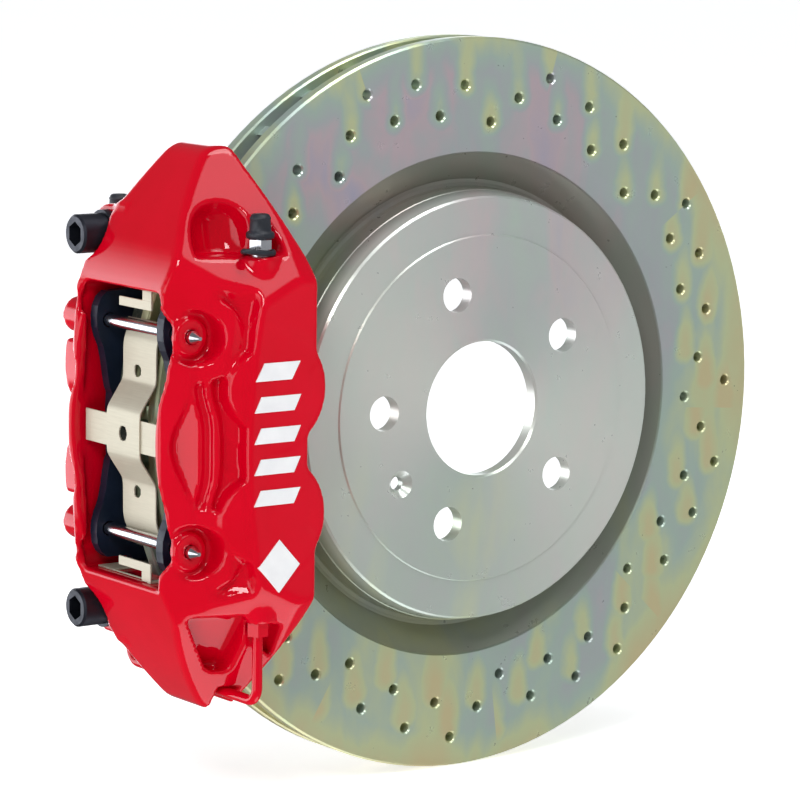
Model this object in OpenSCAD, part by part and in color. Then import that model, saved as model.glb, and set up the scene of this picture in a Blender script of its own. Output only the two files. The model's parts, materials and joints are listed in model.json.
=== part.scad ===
// Brake caliper with disc: a four-piston, radially mounted caliper over a
// drilled, ventilated disc. Millimetres. The disc turns about the Y axis and the
// origin lies on that axis at the face that meets the hub. Outboard is -Y, up is
// +Z, and the caliper sits on the -X side, symmetrical about Z = 0.

/* [Disc] */
// Outer diameter of the disc
disc_d = 350; // [330:1:352]
// Overall thickness of the two friction rings with the vanes between them
disc_t = 25; // [24:0.5:26]
// Thickness of one friction ring
ring_t = 7; // [6:0.5:8]
// Distance from the hub face to the outboard friction face
disc_offset = 5.5; // [5:0.5:6]
// Diameter of the hat's outboard edge
hat_d = 202; // [196:1:206]
// Thickness of the hat's mounting flange
hat_t = 7; // [6:0.5:8]
// Diameter of the raised pad that the wheel sits on
wheel_pad_d = 164.6; // [150:1:170]
// Diameter of the centre bore
bore_d = 64.1; // [56:0.1:74]
// Diameter of the circle through the wheel stud holes
stud_circle_d = 114.3; // [100:0.1:120]
// Number of wheel stud holes
stud_count = 5; // [4:1:5]
// Diameter of one wheel stud hole
stud_hole_d = 16.5; // [13:0.1:17]
// Number of curved cooling vanes
vane_count = 37; // [31:1:41]
// Diameter of the drilled holes in the friction rings
drill_d = 4.8; // [4:0.1:5.5]

/* [Pistons] */
// Diameter of the upper pistons
piston_upper_d = 38; // [36:0.5:38]
// Diameter of the lower pistons
piston_lower_d = 42; // [40:0.5:42]
// Height of the upper pistons' axis above the disc axis
piston_upper_z = 24; // [22:0.5:26]
// Height of the lower pistons' axis, which is below the disc axis
piston_lower_z = -33; // [-34:0.5:-31]
// Distance from the disc axis to the pistons' axis, along X
piston_x = 144; // [142:0.5:146]
// Length of a piston
piston_len = 24; // [23:0.5:24]

/* [Pads] */
// Thickness of the friction material when new
friction_t = 12.5; // [12:0.25:12.5]
// Thickness of the steel backing plate
plate_t = 5.5; // [5:0.5:6]
// Thickness of the damping shim behind the plate
shim_t = 1; // [0.5:0.1:1]
// Gap between the friction material and the disc when the brake is off
running_gap = 0.4; // [0.3:0.05:0.5]
// Distance of the pad pins above and below the disc axis
pin_z = 48.25; // [46:0.25:49]
// Diameter of a pad pin
pin_d = 6; // [5.5:0.5:6]

/* [Caliper] */
// Distance from the middle of the disc to the outboard face
half_w = 63; // [62:0.5:64]
// Radius of the caliper's outer surface, about the disc axis
shell_r = 198; // [197:0.5:200]
// Half the height of the caliper
end_z = 129.5; // [128:0.5:131]
// Half the height of the window over the pads
window_z = 66.5; // [66:0.5:68]
// Half the distance between the two mounting bolts
mount_z = 86.8; // [86:0.1:87.5]
// Distance of the mounting bolts' plane from the hub face, along Y
mount_y = 57; // [56:0.5:58]
// Nominal diameter of the mounting bolts
mount_bolt_d = 12; // [10:2:12]

/* [Hidden] */
$fn = 64;

// Planes across the disc, along Y
mid_y = disc_offset + disc_t / 2;
outer_face_y = mid_y - half_w;

// Disc
disc_r = disc_d / 2;
hat_r = hat_d / 2;
hat_wall = 7;
wall_r = hat_r + 1.9;
groove_r = 107.5;
groove_depth = 8.5;
braking_inner_r = 121;
vane_inner_r = 127;
vane_t = 5;
vane_sweep = 0.27;
drill_first_a = 34;
drill_inner_r = 135.2;
drill_step_r = 4.32;
drill_period_a = 4 * 360 / vane_count;
// One period of the drilling: which of the seven radii, and how far round
drill_pattern = [[6, 0], [3, 5.99], [0, 11.99], [4, 18.39], [1, 24.42], [5, 28.91], [2, 34.91]];
// The last holes close the ring, where the pattern doesn't divide it evenly
drill_seam = [[6, 0.1], [2, 5.2], [4, 14], [1, 20], [5, 24.5], [2, 30.6]];
screw_hole_a = 214.3;

// Pads
friction_back = disc_offset - running_gap - friction_t;
plate_back = friction_back - plate_t;
shim_back = plate_back - shim_t;
pin_x = -176;
pad_end_z = 65;
pad_inner_r = 122;
pad_outer_r = 173;
pad_hub_x = -124;

// Caliper
wall_y = -17;
window_y = -16;
pad_pocket_x = -184;
pocket_z = window_z + 0.3;
seal_y = -21.6;
seal_groove_w = 3.5;
bore_gap = 0.05;
bore_end_y = shim_back - piston_len - 2.5;
slot_side_gap = 3.2;
slot_r = disc_r + 3.5;
ledge_z = 83;
hub_edge_x = -121;
notch_x = -125.5;

boss_wall = 8.5;
pin_boss_r = 8.5;
pin_boss_y = -26;
ear_top_x = -168.5;
ear_face_x = -128;
ear_r = 13;
// Where the mounting bolts' plain shanks end and their threads begin
thread_x = -127;
bleed_x = -143;
bleed_y = -30.5;
rear_port_y = 77;
rear_bleed_x = -150;
tube_d = 4.8;
tube_low_z = -120;
tube_bend = 7;
thread_r = 5;
nut_r = 5.3;
hose_x = -140;
hose_z = -4.5;
hose_boss_r = 9.5;
bleed_drill_r = 1.75;
bolt_head_r = 9;
washer_t = 3.5;
pistons = [[piston_upper_z, piston_upper_d / 2], [piston_lower_z, piston_lower_d / 2]];

// ---------------------------------------------------------------- helpers

// Extrudes a drawing of X and Z along Y, from y0 to y1
module along_y(y0, y1) translate([0, y1, 0]) rotate([90, 0, 0]) linear_extrude(y1 - y0) children();

// Extrudes a drawing of Y and Z along X, from x0 to x1
module along_x(x0, x1) translate([x0, 0, 0]) rotate([90, 0, 90]) linear_extrude(x1 - x0) children();

// A round bar along Y
module bar_y(r, y0, y1, x = 0, z = 0) translate([x, y1, z]) rotate([90, 0, 0]) cylinder(r = r, h = y1 - y0);

// A round bar along X
module bar_x(r, x0, x1, y, z) translate([x0, y, z]) rotate([0, 90, 0]) cylinder(r = r, h = x1 - x0);

// A box from its lowest to its highest corner
module block(low, high) translate(low) cube(high - low);

// The half space beyond a plane through p, with outward normal n
module beyond(p, n)
    translate(p) rotate([0, acos(n.z / norm(n)), atan2(n.y, n.x)])
        translate([-200, -200, 0]) cube([400, 400, 200]);

// Puts a copy on the inboard side, mirrored in the disc's middle plane
module inboard() translate([0, 2 * mid_y, 0]) mirror([0, 1, 0]) children();

module both_sides() {
    children();
    inboard() children();
}

module both_ends() {
    children();
    mirror([0, 0, 1]) children();
}

module ring_2d(r0, r1) difference() {
    circle(r = r1, $fn = 128);
    circle(r = r0, $fn = 128);
}

// ------------------------------------------------------------------- disc

// Half section of the hat with the outboard friction ring: radius, height
module hat_section() {
    face = -disc_offset;
    floor_z = face - groove_depth;
    polygon([
        [bore_d / 2, 0], [bore_d / 2, hat_t - 1], [bore_d / 2 + 1, hat_t],
        [wheel_pad_d / 2, hat_t], [wheel_pad_d / 2 + 0.6, hat_t - 0.8],
        [hat_r - 1, hat_t - 0.8], [hat_r, hat_t - 1.8],
        [wall_r, face + 2], [wall_r + 0.4, face + 1.6],
        [wall_r + 0.7, floor_z + 2.5], [wall_r + 1.4, floor_z + 0.7], [wall_r + 3, floor_z],
        [groove_r, floor_z],
        [braking_inner_r - 0.6, face - 0.9], [braking_inner_r, face],
        [disc_r - 1, face], [disc_r, face - 1],
        [disc_r, face - ring_t + 0.8], [disc_r - 0.8, face - ring_t],
        [vane_inner_r - 2, face - ring_t],
        [groove_r + 4, floor_z - 6], [groove_r, floor_z - 7],
        [wall_r - 1, floor_z - 6.5], [hat_r - hat_wall + 1, floor_z],
        [hat_r - hat_wall, face], [hat_r - hat_wall, -1.5],
        [hat_r - hat_wall - 1.5, 0]]);
}

// Half section of the inboard friction ring
module inner_ring_section() {
    top = -disc_offset - disc_t + ring_t;
    low = -disc_offset - disc_t;
    polygon([
        [braking_inner_r - 2, low + 2], [braking_inner_r - 2, top],
        [disc_r - 0.8, top], [disc_r, top - 0.8], [disc_r, low + 1], [disc_r - 1, low],
        [braking_inner_r, low]]);
}

// Both edges of one vane, swept back by a steady angle for each millimetre of radius
function vane_point(r, side) =
    let (a = vane_sweep * (r - vane_inner_r) + side * asin(vane_t / 2 / r) / 0.82)
    [r * cos(a), r * sin(a)];
vane_radii = [for (k = [0:5]) vane_inner_r - 1 + k * (disc_r - 3 - vane_inner_r) / 5];

module vane() {
    edge = [for (r = vane_radii) vane_point(r, 1)];
    back = [for (k = [0:5]) vane_point(vane_radii[5 - k], -1)];
    translate([0, 0, -disc_offset - disc_t + ring_t - 0.2])
        linear_extrude(disc_t - 2 * ring_t + 0.4) polygon(concat(edge, back));
}

// Every drilled hole: radius and angle
drill_ring = concat(
    [for (p = [0:7], h = drill_pattern)
        [drill_inner_r + drill_step_r * h[0], drill_first_a + p * drill_period_a + h[1]]],
    [for (k = [0:2])
        let (h = drill_pattern[k])
        [drill_inner_r + drill_step_r * h[0], drill_first_a + 8 * drill_period_a + h[1]]],
    [for (h = drill_seam) [drill_inner_r + drill_step_r * h[0], h[1]]]);

module drill() {
    bevel = 0.7;
    low = -disc_offset - disc_t;
    translate([0, 0, low - 1]) cylinder(d = drill_d, h = disc_t + 2);
    mouth_d = drill_d + 2 * bevel + 0.2;
    translate([0, 0, -disc_offset - bevel]) cylinder(d1 = drill_d, d2 = mouth_d, h = bevel + 0.1);
    translate([0, 0, low - 0.1]) cylinder(d1 = mouth_d, d2 = drill_d, h = bevel + 0.1);
}

module disc() color("#b4b0a0") rotate([90, 0, 0]) difference() {
    union() {
        rotate_extrude($fn = 180) hat_section();
        rotate_extrude($fn = 180) inner_ring_section();
        for (k = [0:vane_count - 1]) rotate([0, 0, k * 360 / vane_count]) vane();
    }
    for (k = [0:stud_count - 1]) rotate([0, 0, 34 + k * 360 / stud_count])
        translate([stud_circle_d / 2, 0, -1]) cylinder(d = stud_hole_d, h = hat_t + 2);
    rotate([0, 0, screw_hole_a]) translate([stud_circle_d / 2, 0, -1]) {
        cylinder(d = 6.6, h = hat_t + 2);
        translate([0, 0, hat_t - 2.4]) cylinder(d1 = 6.6, d2 = 13.4, h = 3.5);
    }
    for (h = drill_ring) rotate([0, 0, h[1]]) translate([h[0], 0, 0]) drill();
}

// ----------------------------------------------------------- caliper body

// The caliper seen along the disc axis
module side_outline() intersection() {
    circle(r = shell_r, $fn = 180);
    polygon([
        [-190, -end_z], [-190, end_z], [-132, end_z], [-128, end_z - 6],
        [hub_edge_x, 79], [hub_edge_x, 40], [notch_x, 36],
        [notch_x, -44], [hub_edge_x, -48], [hub_edge_x, -79],
        [-128, 6 - end_z], [-132, -end_z]]);
}

// The caliper seen from above the window: Y and Z
module plan_outline() {
    far = mid_y + half_w;
    polygon([
        [outer_face_y, -80], [outer_face_y, 80], [-2, end_z + 2], [42, end_z + 2],
        [48, end_z - 6], [49, 78], [far - 8, 74], [far, 66], [far, -66], [far - 8, -74],
        [49, -78], [48, 6 - end_z], [42, -end_z - 2], [-2, -end_z - 2]]);
}

// What is cut away between the outboard face and the rail beside the window: X and Y
module shoulder_section() polygon([
    [-210, -20], [-189, -20], [-177, -22.5], [-169, -32], [-158, -42],
    [-157, outer_face_y], [-157, outer_face_y - 20], [-210, outer_face_y - 20]]);

// The window over the pads, a little wider on the inboard side at its middle
module window_outline() polygon([
    [window_y - 3, -window_z + 6], [window_y + 3, -window_z], [48.3, -window_z], [51, -window_z + 4],
    [51, -58], [49.6, -45], [50.5, -28], [54, -9], [54, 9], [50.5, 28], [49.6, 45], [51, 58],
    [51, window_z - 4], [48.3, window_z], [window_y + 3, window_z], [window_y - 3, window_z - 6],
    [window_y - 5, 45], [window_y - 0.7, 20], [window_y, 8],
    [window_y, -8], [window_y - 0.7, -20], [window_y - 5, -45]]);

module piston_boss(z, r) {
    bar_y(r + boss_wall, outer_face_y + 3, wall_y + 2, -piston_x, z);
    translate([-piston_x, outer_face_y + 3, z]) rotate([90, 0, 0])
        cylinder(r1 = r + boss_wall, r2 = r + boss_wall - 3, h = 3);
}

module half_bosses() {
    for (p = pistons) piston_boss(p[0], p[1]);
    both_ends() bar_y(pin_boss_r, pin_boss_y, wall_y + 2, pin_x, pin_z);
}

// Ledge, scoop and screw seat at one end of the outboard half
module end_pocket() {
    block([-180, outer_face_y - 5, ledge_z], [-131, -20, ledge_z + 10]);
    translate([-151, -42, ledge_z + 20]) sphere(r = 25, $fn = 48);
}

module screw_seat(x, y) {
    translate([x, y, ledge_z - 20]) cylinder(r = thread_r, h = 22);
    translate([x, y, 40]) cylinder(r = bleed_drill_r, h = ledge_z - 55);
}

// Boss for a screw on the inboard side, where the mounting ear leaves no room
module rear_boss(x) intersection() {
    translate([x, rear_port_y, 50]) cylinder(r = 8, h = ledge_z - 50);
    block([-170, 60, 40], [-120, 90, ledge_z]);
}

module mount_ear() {
    bar_x(ear_r, ear_top_x, ear_face_x, mount_y, mount_z);
    block([ear_top_x, 40, mount_z - ear_r], [ear_face_x, mount_y, mount_z + ear_r]);
}

module mount_bore() {
    bar_x(mount_bolt_d / 2 + 0.25, -200, -100, mount_y, mount_z);
    bar_x(11.5, -205, ear_top_x, mount_y, mount_z);
}

module caliper_body() color("#c00010") difference() {
    union() {
        difference() {
            intersection() {
                along_y(outer_face_y, mid_y + half_w) side_outline();
                along_x(-200, -100) plan_outline();
            }
            both_sides() translate([0, 0, -150]) linear_extrude(300) shoulder_section();
            both_ends() {
                beyond([hub_edge_x, outer_face_y, 78], [-0.288, -0.772, 0.566]);
                intersection() {
                    beyond([hub_edge_x, 0, 79], [42.5, 0, 15]);
                    block([-200, -100, 0], [0, 2, 200]);
                }
            }
        }
        intersection() {
            both_sides() half_bosses();
            block([-190, -60, -100], [-90, 100, 100]);
        }
        both_ends() mount_ear();
        rear_boss(rear_bleed_x);
        mirror([0, 0, 1]) rear_boss(bleed_x);
        bar_y(hose_boss_r, mid_y + half_w - 6, mid_y + half_w + 2, hose_x, hose_z);
    }
    // Slot for the disc, and the space for the pads
    bar_y(slot_r, disc_offset - slot_side_gap, disc_offset + disc_t + slot_side_gap);
    along_x(-210, -90) window_outline();
    both_sides() block([pad_pocket_x, wall_y, -pocket_z], [-90, mid_y, pocket_z]);
    // Spot faces round the pad pins
    both_sides() both_ends() bar_y(pin_boss_r, -60, pin_boss_y, pin_x, pin_z);
    // Cylinders, grooves for their seals, pin holes
    both_sides() {
        for (p = pistons) {
            bar_y(p[1] + bore_gap, bore_end_y, wall_y + 8, -piston_x, p[0]);
            bar_y(p[1] + 3, seal_y - seal_groove_w, seal_y, -piston_x, p[0]);
            bar_y(p[1] + 4, wall_y - 3, wall_y + 1, -piston_x, p[0]);
        }
        both_ends() bar_y(pin_d / 2 + bore_gap, -40, wall_y + 10, pin_x, pin_z);
    }
    both_ends() {
        end_pocket();
        screw_seat(bleed_x, bleed_y);
    }
    screw_seat(rear_bleed_x, rear_port_y);
    mirror([0, 0, 1]) screw_seat(bleed_x, rear_port_y);
    both_ends() mount_bore();
    // Groove for the crossover tube, and the hose port
    block([bleed_x - 4.5, -60, -end_z - 5], [bleed_x + 4.5, 100, tube_low_z + 4]);
    bar_y(thread_r, mid_y + half_w - 12, mid_y + half_w + 5, hose_x, hose_z);
    bar_y(bleed_drill_r, 65, mid_y + half_w - 6, hose_x, hose_z);
}

// ------------------------------------------------- pistons and their seals

module piston(p) color("#d8d8d0") difference() {
    bar_y(p[1], shim_back - piston_len, shim_back - 0.05, -piston_x, p[0]);
    bar_y(p[1] - 5, shim_back - piston_len + 6, shim_back + 1, -piston_x, p[0]);
    difference() {
        bar_y(p[1] + 1, shim_back - 5, shim_back - 2.6, -piston_x, p[0]);
        bar_y(p[1] - 1.4, shim_back - 6, shim_back, -piston_x, p[0]);
    }
}

module piston_outboard_upper() piston(pistons[0]);
module piston_outboard_lower() piston(pistons[1]);
module piston_inboard_upper() inboard() piston(pistons[0]);
module piston_inboard_lower() inboard() piston(pistons[1]);

module seal_ring(p, grow, y0, y1) difference() {
    bar_y(p[1] + grow, y0, y1, -piston_x, p[0]);
    bar_y(p[1] + 0.08, y0 - 1, y1 + 1, -piston_x, p[0]);
}

module piston_seals() color("#151515") both_sides() 
    for (p = pistons) seal_ring(p, 2.9, seal_y - seal_groove_w + 0.1, seal_y - 0.1);

module dust_seals() color("#1c1c1c") both_sides()
    for (p = pistons) seal_ring(p, 3.9, wall_y - 2.9, wall_y + 0.5);

// -------------------------------------------------------------------- pads

module pad_blank() union() {
    intersection() {
        ring_2d(pad_inner_r - 1.5, pad_outer_r + 2);
        translate([-200, -pad_end_z]) square([200 + pad_hub_x, 2 * pad_end_z]);
    }
    for (s = [-1, 1]) scale([1, s]) pad_ear();
}

// The plate stands above the disc's edge on both sides of the spring, highest round the pin
module pad_ear() polygon([
    [-160, 13], [-174, 13.5], [-175.5, 17], [-176.5, 22], [-177.5, 29], [-179, 36], [-181, 40.5],
    [-182.3, 45], [-182.6, 50], [-182, 55], [-180, 59], [-177, 61.5], [-160, 62]]);

module pin_holes() for (s = [-1, 1]) translate([pin_x, s * pin_z]) circle(d = pin_d + 0.8);

module pad_plate() color("#20242c") along_y(plate_back, friction_back) difference() {
    pad_blank();
    pin_holes();
}

module friction() color("#3c4038") along_y(friction_back, friction_back + friction_t) difference() {
    intersection() {
        ring_2d(pad_inner_r, pad_outer_r - 2);
        polygon([[pad_hub_x - 1, -50], [-180, -61], [-180, 61], [pad_hub_x - 1, 50]]);
    }
    translate([-180, -1.5]) square([80, 3]);
    pin_holes();
}

module shim() color("#14161a") along_y(shim_back, plate_back) difference() {
    intersection() {
        ring_2d(pad_inner_r + 3, pad_outer_r - 3);
        translate([-200, -56]) square([197 + pad_hub_x, 112]);
    }
    pin_holes();
}

module pad_plate_outboard() pad_plate();
module pad_plate_inboard() inboard() pad_plate();
module friction_outboard() friction();
module friction_inboard() inboard() friction();
module shim_outboard() shim();
module shim_inboard() inboard() shim();

// ------------------------------------------- pins, spring, abutment plates

module pad_pin() color("#d9d9dd") {
    bar_y(pin_d / 2, -28.5, 61, pin_x, pin_z);
    translate([pin_x, -28.5, pin_z]) rotate([90, 0, 0]) cylinder(r1 = pin_d / 2, r2 = 0.9, h = 4.5);
    bar_y(pin_d / 2 + 1.2, 63.1, 66, pin_x, pin_z);
    bar_y(pin_d / 2, 61, 63.1, pin_x, pin_z);
}

module pad_pin_upper() pad_pin();
module pad_pin_lower() mirror([0, 0, 1]) pad_pin();

// Split spring sleeves that lock the pins in the inboard half
module pin_collars() color("#8c8c90") both_ends() difference() {
    bar_y(pin_d / 2 + 1.1, 62.1, 63, pin_x, pin_z);
    bar_y(pin_d / 2, 60, 70, pin_x, pin_z);
    block([pin_x - 8, 60, pin_z - 0.6], [pin_x, 70, pin_z + 0.6]);
}

spring_t = 0.8;
spring_half_w = 14;
strip_x = -175.2;
hook_x = -172.6;
crown_x = -184.4;
wing_reach = 33.4;
wing_half_z = 7.5;
wing_drop = 8;

// Half of the spring seen from the end: under a pin, along the pads, up to the crown
spring_line = [[hook_x, 51.5], [hook_x, 45.5], [strip_x, 40], [strip_x, 24.5], [crown_x, 9.4]];

module spring_strip() polygon(concat(
    spring_line,
    [for (k = [4:-1:0]) [spring_line[k].x, -spring_line[k].y]],
    [for (p = spring_line) [p.x + spring_t, -p.y]],
    [for (k = [4:-1:0]) [spring_line[k].x + spring_t, spring_line[k].y]]));

module pad_spring() color("#cfc6a8") difference() {
    union() {
        along_y(mid_y - spring_half_w, mid_y + spring_half_w) spring_strip();
        block([crown_x, mid_y - wing_reach, -wing_half_z],
            [crown_x + spring_t, mid_y + wing_reach, wing_half_z]);
        both_sides() block([crown_x, mid_y - wing_reach, -wing_half_z],
            [crown_x + wing_drop, mid_y - wing_reach + spring_t, wing_half_z]);
    }
    bar_x(3.5, -200, -150, mid_y, 1);
    for (s = [-1, 1]) bar_x(3, -200, -150, mid_y + 1, s * 27);
}

// Stainless plate on the end wall, with a tab folded over the disc's edge
module abutment() color("#c8bf9e") {
    block([-176, -12.8, 65.6], [-128, 1.8, 66.4]);
    block([-176, 34.4, 65.6], [-128, 47.9, 66.4]);
    block([-184, -12.8, 65.6], [-180.6, 47.9, 66.4]);
    block([-181, -12.8, 65.6], [-175.5, 1.8, 66.4]);
    block([-181, 34.4, 65.6], [-175.5, 47.9, 66.4]);
    block([-181.4, -1, 57.5], [-180.6, 6.5, 66]);
    block([-181.4, -1, 57.5], [-180.6, 26, 61.5]);
}

module abutment_upper() abutment();
module abutment_lower() mirror([0, 0, 1]) abutment();

// ---------------------------------------------- bleed screws, tube, bolts

// Heights above the ledge: where the hexagon begins and ends, where the cap begins
hex_z = 3.2;
nipple_z = 7.4;
cap_z = 7.8;
neck_r = 4.9;

module bleed_screw(x, y) color("#b8b8bc") translate([x, y, ledge_z]) difference() {
    union() {
        translate([0, 0, -18]) cylinder(r1 = 1.2, r2 = thread_r - 0.03, h = 4);
        translate([0, 0, -14]) cylinder(r = thread_r - 0.03, h = 14);
        cylinder(r = neck_r, h = hex_z);
        translate([0, 0, hex_z]) cylinder(r = 5.6, h = nipple_z - hex_z, $fn = 6);
        translate([0, 0, nipple_z]) cylinder(r = 3, h = 2.2);
        translate([0, 0, nipple_z + 2.2]) cylinder(r1 = 3.6, r2 = 3, h = 5.8);
    }
    translate([0, 0, -13]) cylinder(r = 1, h = 30);
}

module bleed_cap(x, y) color("#23262b") translate([x, y, ledge_z + cap_z]) difference() {
    union() {
        cylinder(r = 6.4, h = 3);
        translate([0, 0, 3]) cylinder(r1 = 5.2, r2 = 4.3, h = 7);
        translate([0, 0, 10]) cylinder(r1 = 4.3, r2 = 3.2, h = 1);
    }
    translate([0, 0, -1]) cylinder(r = 3.95, h = 9);
}

// Rubber ring round the screw's neck, with a loop that reaches up beside the cap
module cap_strap(x, y, turn) color("#23262b") translate([x, y, ledge_z]) rotate([0, 0, turn]) {
    difference() {
        cylinder(r = 6.6, h = 2.8);
        translate([0, 0, -1]) cylinder(r = neck_r + 0.35, h = 5);
    }
    rotate([90, 0, 0]) translate([0, 0, -2.2]) linear_extrude(4.4) polygon([
        [6, 0.4], [13.5, 0.4], [15.6, 2], [16.4, 5], [15.8, 8.2], [13.6, 10.4], [7, 10.6],
        [7, 9], [12.8, 8.8], [14.2, 7.4], [14.7, 5], [14.2, 3], [12.8, 2], [6, 2]]);
}

module bleed_screw_outboard() bleed_screw(bleed_x, bleed_y);
module bleed_screw_inboard() bleed_screw(rear_bleed_x, rear_port_y);
module bleed_cap_outboard() bleed_cap(bleed_x, bleed_y);
module bleed_cap_inboard() bleed_cap(rear_bleed_x, rear_port_y);
module cap_strap_outboard() cap_strap(bleed_x, bleed_y, 205);
module cap_strap_inboard() cap_strap(rear_bleed_x, rear_port_y, 180);

// A quarter bend from straight down to straight across, towards +Y
module tube_corner() translate([0, tube_bend, tube_bend]) rotate([0, 90, 0]) rotate([0, 0, 90])
    mirror([1, 1, 0]) rotate_extrude(angle = 90) translate([tube_bend, 0]) circle(d = tube_d, $fn = 32);

module crossover_tube() color("#b8000f") {
    for (y = [bleed_y, rear_port_y]) translate([bleed_x, y, tube_low_z + tube_bend])
        cylinder(d = tube_d, h = -ledge_z + 2 - (tube_low_z + tube_bend));
    translate([bleed_x, bleed_y, tube_low_z]) tube_corner();
    translate([bleed_x, rear_port_y, tube_low_z]) mirror([0, 1, 0]) tube_corner();
    bar_y(tube_d / 2, bleed_y + tube_bend, rear_port_y - tube_bend, bleed_x, tube_low_z);
}

module tube_nut(y) color("#b8000f") translate([bleed_x, y, -ledge_z]) difference() {
    union() {
        translate([0, 0, -6]) cylinder(r = nut_r, h = 6, $fn = 6);
        cylinder(r = thread_r - 0.03, h = 12);
    }
    translate([0, 0, -7]) cylinder(d = tube_d, h = 9);
    translate([0, 0, 1]) cylinder(d = 3, h = 12);
}

module tube_nut_outboard() tube_nut(bleed_y);
module tube_nut_inboard() tube_nut(rear_port_y);

module mount_bolt() color("#202126") difference() {
    union() {
        bar_x(bolt_head_r, -185, ear_top_x - washer_t, mount_y, mount_z);
        translate([-186, mount_y, mount_z]) rotate([0, 90, 0])
            cylinder(r1 = bolt_head_r - 1, r2 = bolt_head_r, h = 1);
        bar_x(mount_bolt_d / 2 - 0.2, ear_top_x - washer_t, thread_x, mount_y, mount_z);
        bar_x(mount_bolt_d / 2, thread_x, -99, mount_y, mount_z);
        translate([-99, mount_y, mount_z]) rotate([0, 90, 0])
            cylinder(r1 = mount_bolt_d / 2, r2 = mount_bolt_d / 2 - 1, h = 1);
    }
    translate([-187, mount_y, mount_z]) rotate([0, 90, 0]) cylinder(r = 5.8, h = 8, $fn = 6);
}

module mount_bolt_upper() mount_bolt();
module mount_bolt_lower() mirror([0, 0, 1]) mount_bolt();

module mount_washers() color("#55565c") both_ends() difference() {
    bar_x(bolt_head_r + 1.5, ear_top_x - washer_t, ear_top_x, mount_y, mount_z);
    bar_x(mount_bolt_d / 2, -180, -160, mount_y, mount_z);
}

disc();
caliper_body();
piston_outboard_upper();
piston_outboard_lower();
piston_inboard_upper();
piston_inboard_lower();
piston_seals();
dust_seals();
pad_plate_outboard();
pad_plate_inboard();
friction_outboard();
friction_inboard();
shim_outboard();
shim_inboard();
pad_pin_upper();
pad_pin_lower();
pin_collars();
pad_spring();
abutment_upper();
abutment_lower();
bleed_screw_outboard();
bleed_screw_inboard();
bleed_cap_outboard();
bleed_cap_inboard();
cap_strap_outboard();
cap_strap_inboard();
crossover_tube();
tube_nut_outboard();
tube_nut_inboard();
mount_bolt_upper();
mount_bolt_lower();
mount_washers();
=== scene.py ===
import json
import math

import bmesh
import bpy
import numpy as np
import openvdb
from mathutils import Matrix, Vector


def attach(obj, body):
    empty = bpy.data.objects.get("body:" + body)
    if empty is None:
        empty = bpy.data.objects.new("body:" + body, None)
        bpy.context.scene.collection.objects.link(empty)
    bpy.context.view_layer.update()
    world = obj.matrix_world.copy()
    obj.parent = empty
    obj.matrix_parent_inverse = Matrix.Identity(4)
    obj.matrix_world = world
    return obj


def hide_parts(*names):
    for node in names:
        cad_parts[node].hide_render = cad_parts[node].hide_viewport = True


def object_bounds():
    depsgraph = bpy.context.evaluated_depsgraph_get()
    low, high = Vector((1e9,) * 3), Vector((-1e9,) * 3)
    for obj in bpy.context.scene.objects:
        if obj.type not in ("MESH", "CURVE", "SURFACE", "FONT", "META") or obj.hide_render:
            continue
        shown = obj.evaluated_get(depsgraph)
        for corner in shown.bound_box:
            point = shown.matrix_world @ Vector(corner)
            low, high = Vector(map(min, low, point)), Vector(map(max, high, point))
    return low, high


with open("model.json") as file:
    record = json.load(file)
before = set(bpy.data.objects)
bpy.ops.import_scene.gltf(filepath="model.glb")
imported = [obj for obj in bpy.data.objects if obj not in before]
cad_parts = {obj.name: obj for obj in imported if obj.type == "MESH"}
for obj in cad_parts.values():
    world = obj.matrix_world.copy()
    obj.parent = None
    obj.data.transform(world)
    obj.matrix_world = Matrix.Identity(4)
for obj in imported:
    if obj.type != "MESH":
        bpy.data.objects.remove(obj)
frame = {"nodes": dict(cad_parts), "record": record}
cad_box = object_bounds()
MM = 0.001

# Places of the CAD model that the detailed pieces share, in millimetres
MID_Y = 18.0
HALF_W = 63.0
SHELL_R = 198.0
RAIL_U = 190.0
END_Z = 129.5
HUB_U = 121.0
LEDGE_Z = 83.0
PIN_U, PIN_Z = 176.0, 48.25
PISTON_U = 144.0
PISTON_Z = (24.0, -33.0)
BORE_R, BORE_WALL_R = (19.1, 21.1), (20.6, 22.5)
WINDOW_Z = 66.5
SLOT_R, SLOT_HALF_W = 178.5, 15.7
EAR_LOW_U, EAR_TOP_U = 128.0, 168.5
SHEET_PITCH = 0.7
EAR_Y, EAR_Z = 57.0, 86.8
BLEED_X, BLEED_Y = -143.0, -30.5
REAR_BLEED_X, REAR_Y = -150.0, 77.0

# The drilling of the friction rings: one period's holes by ring and angle
DRILL_FIRST, DRILL_PERIOD = 34.0, 38.919
DRILL_INNER, DRILL_STEP = 135.2, 4.32
DRILL_PATTERN = ((6, 0), (3, 5.99), (0, 11.99), (4, 18.39), (1, 24.42), (5, 28.91), (2, 34.91))


# ------------------------------------------------------------------ meshes

def new_piece(name, verts, faces, body, slot, smooth=True):
    """A mesh piece from millimetre coordinates that rides on a body."""
    mesh = bpy.data.meshes.new(name)
    mesh.from_pydata([tuple(c * MM for c in v) for v in verts], [], faces)
    mesh.validate()
    mesh.polygons.foreach_set("use_smooth", [smooth] * len(mesh.polygons))
    obj = bpy.data.objects.new(name, mesh)
    bpy.context.scene.collection.objects.link(obj)
    mesh.materials.append(MATERIALS[slot])
    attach(obj, body)
    return obj


def fix_normals(obj):
    bm = bmesh.new()
    bm.from_mesh(obj.data)
    bmesh.ops.recalc_face_normals(bm, faces=bm.faces)
    bm.to_mesh(obj.data)
    bm.free()


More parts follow.
